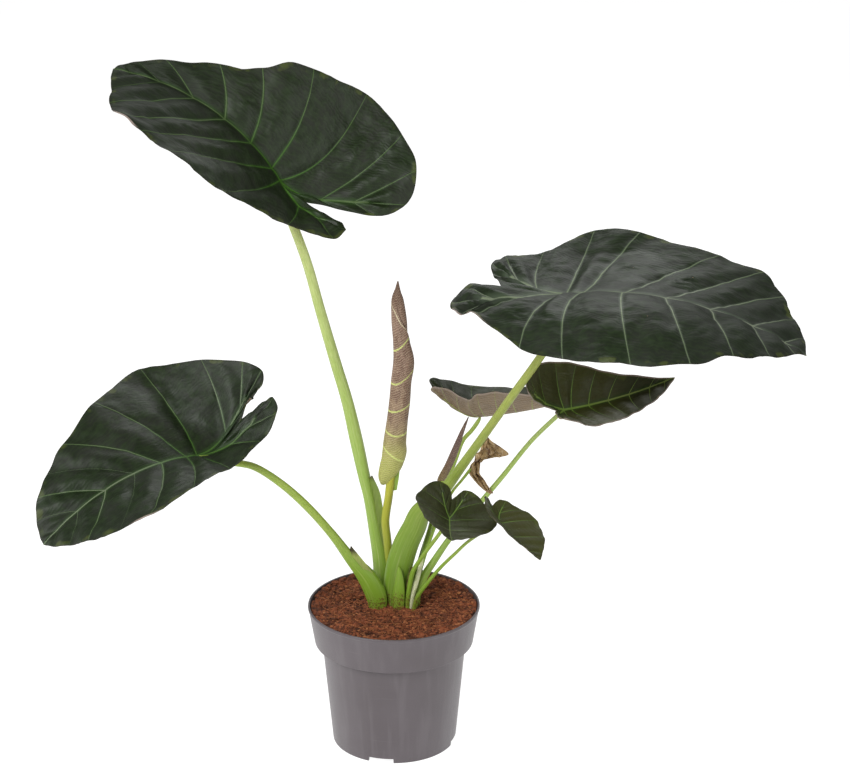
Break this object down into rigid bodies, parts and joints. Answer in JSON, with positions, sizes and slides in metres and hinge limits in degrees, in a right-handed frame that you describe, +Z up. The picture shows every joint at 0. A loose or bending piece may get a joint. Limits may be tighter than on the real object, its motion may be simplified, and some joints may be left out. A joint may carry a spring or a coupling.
{
  "type": "potted regal shields alocasia",
  "caption": "Potted alocasia with broad dark shield leaves on long green stems, a rolled new leaf and coir soil in a grey grower's pot.",
  "frame": {"origin": "centre of the pot's underside, on the surface that it stands on", "axes": "+Z up along the pot's axis, -Y towards the viewer, +X to the viewer's right"},
  "size_m": [0.8714, 0.4119, 0.8354],
  "materials": {
    "pot_plastic": "grey moulded polypropylene, satin",
    "coir_soil": "reddish brown coir and bark crumbs, dry and matt",
    "leaf_blade": "living leaf, very dark green with pale green veins, satin; mauve brown underneath",
    "petiole": "fresh green fleshy stem, satin",
    "yellow_petiole": "yellow green fleshy stem, satin",
    "rolled_blade": "mauve brown rolled leaf underside with yellow green veins",
    "withered_blade": "dry papery leaf, brown",
    "dry_sheath": "dry brown sheath",
    "pale_sheath": "pale thin sheath"
  },
  "bodies": {
    "root": {"pot": "pot_plastic", "soil": "coir_soil", "blade_upper_left": "leaf_blade", "blade_right": "leaf_blade", "blade_left": "leaf_blade", "blade_middle_right": "leaf_blade", "blade_middle_back": "leaf_blade", "blade_low_front": "leaf_blade", "blade_low_right": "leaf_blade", "petiole_upper_left": "petiole", "petiole_right": "petiole", "petiole_left": "petiole", "petiole_middle_right": "petiole", "petiole_middle_back": "petiole", "petiole_low_front": "petiole", "petiole_low_right": "petiole", "petiole_rolled": "yellow_petiole", "petiole_small_rolled": "petiole", "petiole_withered": "petiole", "rolled_leaf": "rolled_blade", "small_rolled_leaf": "rolled_blade", "withered_leaf": "withered_blade", "sheath_green": "petiole", "sheath_brown": "dry_sheath", "sheath_cream": "pale_sheath"}
  },
  "joints": []
}
